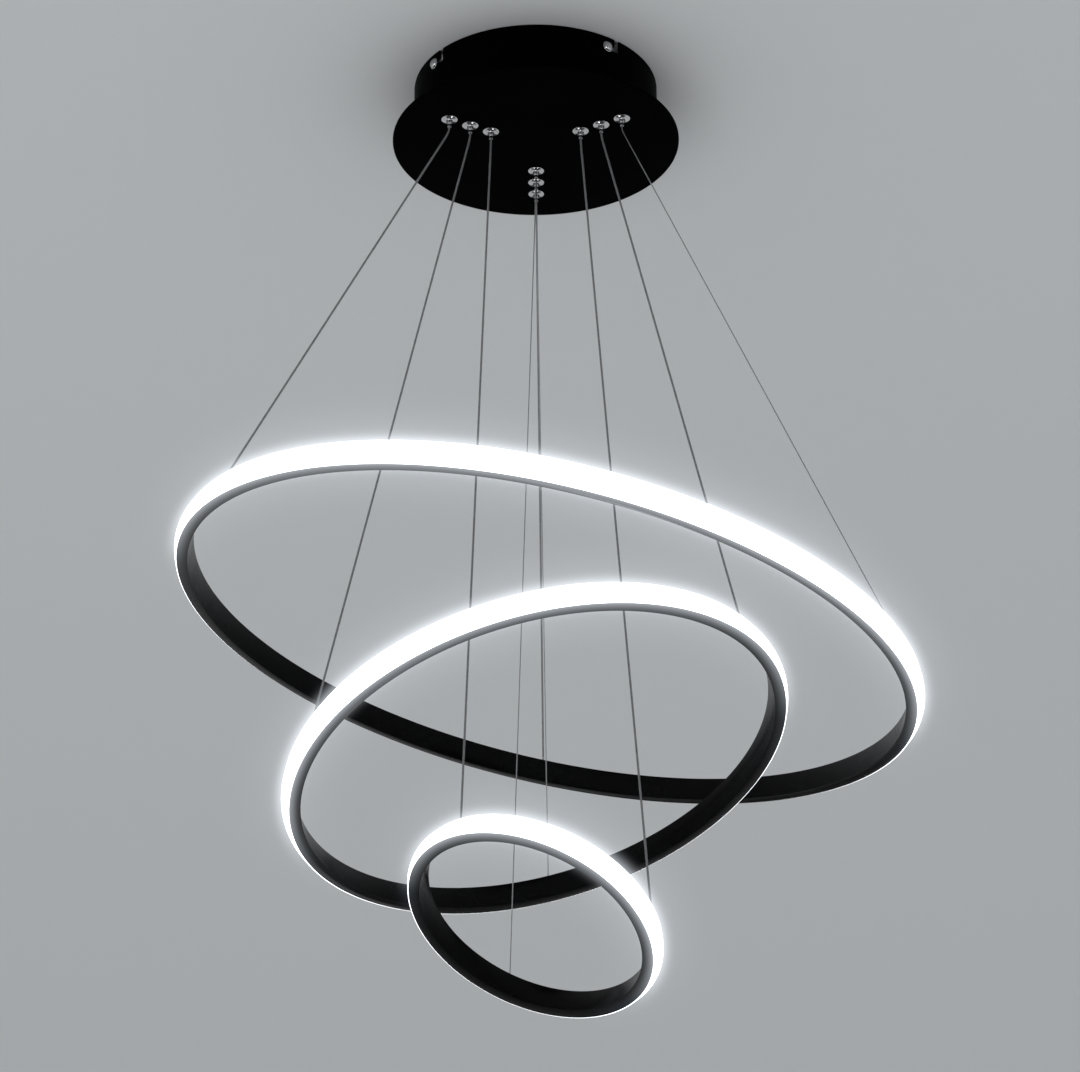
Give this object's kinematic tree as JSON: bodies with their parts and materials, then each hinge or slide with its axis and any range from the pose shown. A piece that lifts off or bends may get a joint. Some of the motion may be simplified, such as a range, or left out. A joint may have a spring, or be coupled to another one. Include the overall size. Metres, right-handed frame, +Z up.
{
  "type": "led ring chandelier",
  "caption": "Ceiling lamp: three slim leaning light rings of falling size, hung in tiers on thin wires from a round canopy with adjustable cable grips.",
  "frame": {"origin": "centre of the ceiling face of the fixing bracket, so the lamp hangs below z = 0", "axes": "+Z up into the ceiling; +Y from the front of the lamp to its rear, where each ring's third wire hangs; +X to the right as seen from the front"},
  "size_m": [0.5934, 0.6078, 0.7984],
  "materials": {
    "canopy_black": "satin powder coat",
    "zinc_steel": "zinc plated, satin",
    "chrome": "polished",
    "ring_black": "satin black anodised",
    "diffuser_white": "opal white, lit from inside",
    "led_board": "white printed board on aluminium",
    "splice_steel": "plain steel",
    "jacketed_wire": "steel and copper core in a thin clear jacket",
    "bare_wire": "bare stranded steel",
    "circuit_board": "solder mask, with dark components",
    "terminal_white": "moulded nylon",
    "earth_brass": "plain",
    "lead_black": "matt sheath"
  },
  "bodies": {
    "bracket": {"ceiling_bracket": "zinc_steel", "side_screws": "chrome"},
    "canopy": {"canopy_drum": "canopy_black", "canopy_disc": "canopy_black", "driver_case": "zinc_steel", "driver_lid": "zinc_steel", "driver_board": "circuit_board", "terminal_block": "terminal_white", "earth_terminal": "earth_brass", "input_lead": "lead_black", "grip_bodies": "chrome", "grip_nuts": "zinc_steel", "large_left_wire": "jacketed_wire", "large_right_wire": "bare_wire", "large_rear_wire": "jacketed_wire", "medium_left_wire": "jacketed_wire", "medium_right_wire": "jacketed_wire", "medium_rear_wire": "bare_wire", "small_left_wire": "jacketed_wire", "small_right_wire": "jacketed_wire", "small_rear_wire": "bare_wire"},
    "large_left_release": {"large_left_plunger": "chrome"},
    "large_right_release": {"large_right_plunger": "chrome"},
    "large_rear_release": {"large_rear_plunger": "chrome"},
    "large_hanger": {"large_side_wire_ends": "splice_steel"},
    "large_ring": {"large_channel": "ring_black", "large_diffuser": "diffuser_white", "large_led_boards": "led_board", "large_splice_plates": "splice_steel", "large_rear_wire_end": "splice_steel"},
    "medium_left_release": {"medium_left_plunger": "chrome"},
    "medium_right_release": {"medium_right_plunger": "chrome"},
    "medium_rear_release": {"medium_rear_plunger": "chrome"},
    "medium_hanger": {"medium_side_wire_ends": "splice_steel"},
    "medium_ring": {"medium_channel": "ring_black", "medium_diffuser": "diffuser_white", "medium_led_boards": "led_board", "medium_splice_plates": "splice_steel", "medium_rear_wire_end": "splice_steel"},
    "small_left_release": {"small_left_plunger": "chrome"},
    "small_right_release": {"small_right_plunger": "chrome"},
    "small_rear_release": {"small_rear_plunger": "chrome"},
    "small_hanger": {"small_side_wire_ends": "splice_steel"},
    "small_ring": {"small_channel": "ring_black", "small_diffuser": "diffuser_white", "small_led_boards": "led_board", "small_splice_plates": "splice_steel", "small_rear_wire_end": "splice_steel"}
  },
  "joints": [
    {"name": "canopy_twist", "type": "hinge", "parent": "bracket", "child": "canopy", "pos_m": [0, 0, 0], "axis": [0, 0, 1], "range_deg": [-5.4, 0]},
    {"name": "large_left_press", "type": "slide", "parent": "canopy", "child": "large_left_release", "axis": [0, 0, 1], "range_m": [0, 0.0015], "stiffness_N_per_m": 500, "springref_m": -0.002},
    {"name": "large_right_press", "type": "slide", "parent": "canopy", "child": "large_right_release", "axis": [0, 0, 1], "range_m": [0, 0.0015], "stiffness_N_per_m": 500, "springref_m": -0.002},
    {"name": "large_rear_press", "type": "slide", "parent": "canopy", "child": "large_rear_release", "axis": [0, 0, 1], "range_m": [0, 0.0015], "stiffness_N_per_m": 500, "springref_m": -0.002},
    {"name": "large_height", "type": "slide", "parent": "canopy", "child": "large_hanger", "axis": [0, 0, 1], "range_m": [0, 0.1], "deforming": ["large_left_wire", "large_right_wire", "large_rear_wire"]},
    {"name": "large_tilt", "type": "hinge", "parent": "large_hanger", "child": "large_ring", "pos_m": [-0.2384, -0.15176, -0.43634], "axis": [0.9725, 0.0523, -0.2272], "range_deg": [0, 6], "deforming": ["large_rear_wire"]},
    {"name": "medium_left_press", "type": "slide", "parent": "canopy", "child": "medium_left_release", "axis": [0, 0, 1], "range_m": [0, 0.0015], "stiffness_N_per_m": 500, "springref_m": -0.002},
    {"name": "medium_right_press", "type": "slide", "parent": "canopy", "child": "medium_right_release", "axis": [0, 0, 1], "range_m": [0, 0.0015], "stiffness_N_per_m": 500, "springref_m": -0.002},
    {"name": "medium_rear_press", "type": "slide", "parent": "canopy", "child": "medium_rear_release", "axis": [0, 0, 1], "range_m": [0, 0.0015], "stiffness_N_per_m": 500, "springref_m": -0.002},
    {"name": "medium_height", "type": "slide", "parent": "canopy", "child": "medium_hanger", "axis": [0, 0, 1], "range_m": [0, 0.1], "deforming": ["medium_left_wire", "medium_right_wire", "medium_rear_wire"]},
    {"name": "medium_tilt", "type": "hinge", "parent": "medium_hanger", "child": "medium_ring", "pos_m": [-0.17162, -0.09595, -0.61509], "axis": [0.9689, 0.0185, 0.2468], "range_deg": [0, 6], "deforming": ["medium_rear_wire"]},
    {"name": "small_left_press", "type": "slide", "parent": "canopy", "child": "small_left_release", "axis": [0, 0, 1], "range_m": [0, 0.0015], "stiffness_N_per_m": 500, "springref_m": -0.002},
    {"name": "small_right_press", "type": "slide", "parent": "canopy", "child": "small_right_release", "axis": [0, 0, 1], "range_m": [0, 0.0015], "stiffness_N_per_m": 500, "springref_m": -0.002},
    {"name": "small_rear_press", "type": "slide", "parent": "canopy", "child": "small_rear_release", "axis": [0, 0, 1], "range_m": [0, 0.0015], "stiffness_N_per_m": 500, "springref_m": -0.002},
    {"name": "small_height", "type": "slide", "parent": "canopy", "child": "small_hanger", "axis": [0, 0, 1], "range_m": [0, 0.1], "deforming": ["small_left_wire", "small_right_wire", "small_rear_wire"]},
    {"name": "small_tilt", "type": "hinge", "parent": "small_hanger", "child": "small_ring", "pos_m": [-0.05992, -0.05308, -0.6795], "axis": [0.8951, 0.1205, -0.4292], "range_deg": [0, 6], "deforming": ["small_rear_wire"]}
  ]
}
